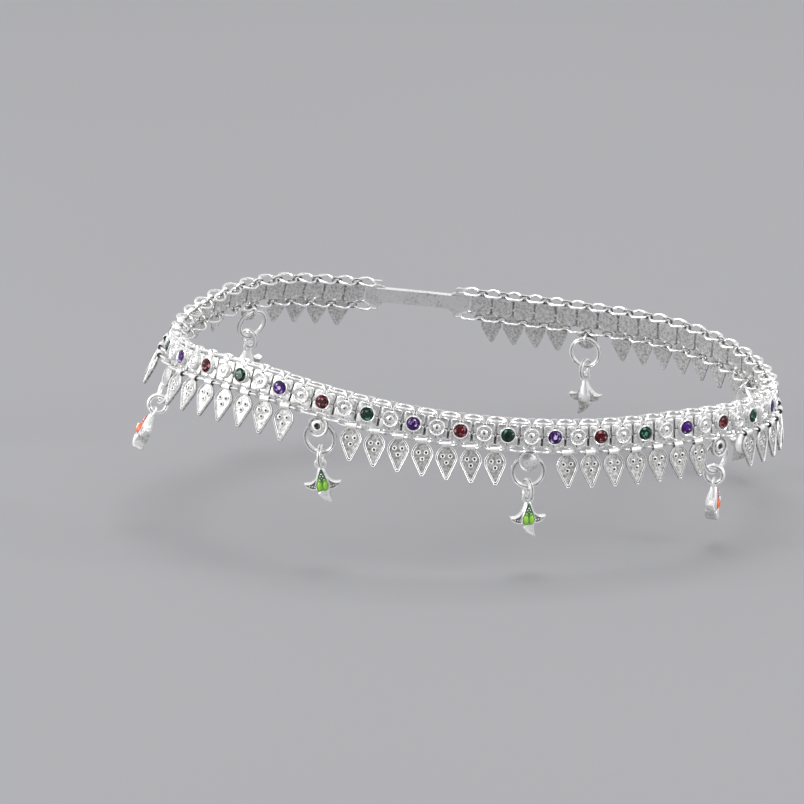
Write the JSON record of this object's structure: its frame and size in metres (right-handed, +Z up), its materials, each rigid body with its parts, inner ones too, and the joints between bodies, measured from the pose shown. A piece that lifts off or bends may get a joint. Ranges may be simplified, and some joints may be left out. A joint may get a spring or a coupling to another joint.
{
  "type": "payal anklet",
  "caption": "Closed oval chain anklet of cast links with round stones and domes, a fringe of small leaves and hanging lily charms.",
  "frame": {"origin": "middle of the ankle at the height of the band, centre of the oval loop", "axes": "+X towards the heel along the oval's long axis, -X towards the instep, +Z up the leg, -Y the outer side of the ankle"},
  "size_m": [0.1102, 0.0736, 0.0301],
  "materials": {
    "silver": "polished cast silver, bright rims and satin fields",
    "stone_red": "cut red glass stone",
    "stone_green": "cut green glass stone",
    "stone_purple": "cut purple glass stone",
    "enamel_green": "glossy green enamel",
    "enamel_orange": "glossy orange-red enamel"
  },
  "bodies": {
    "root": {"band_dome_links": "silver", "band_stone_links": "silver", "charm_1": "silver", "charm_2": "silver", "charm_3": "silver", "charm_4": "silver", "charm_5": "silver", "charm_6": "silver", "charm_7": "silver", "charm_enamel_1": "enamel_green", "charm_enamel_2": "enamel_orange", "charm_enamel_3": "enamel_green", "charm_enamel_4": "enamel_green", "charm_enamel_5": "enamel_orange", "charm_enamel_6": "enamel_green", "charm_enamel_7": "enamel_green", "clasp": "silver", "drop_bail_1": "silver", "drop_bail_2": "silver", "drop_bail_3": "silver", "drop_bail_4": "silver", "drop_bail_5": "silver", "drop_bail_6": "silver", "drop_bail_7": "silver", "drop_ring_1": "silver", "drop_ring_2": "silver", "drop_ring_3": "silver", "drop_ring_4": "silver", "drop_ring_5": "silver", "drop_ring_6": "silver", "drop_ring_7": "silver", "leaves_1": "silver", "leaves_2": "silver", "leaves_3": "silver", "leaves_4": "silver", "leaves_5": "silver", "leaves_6": "silver", "leaves_7": "silver", "leaves_8": "silver", "stones_green": "stone_green", "stones_purple": "stone_purple", "stones_red": "stone_red"}
  },
  "joints": []
}
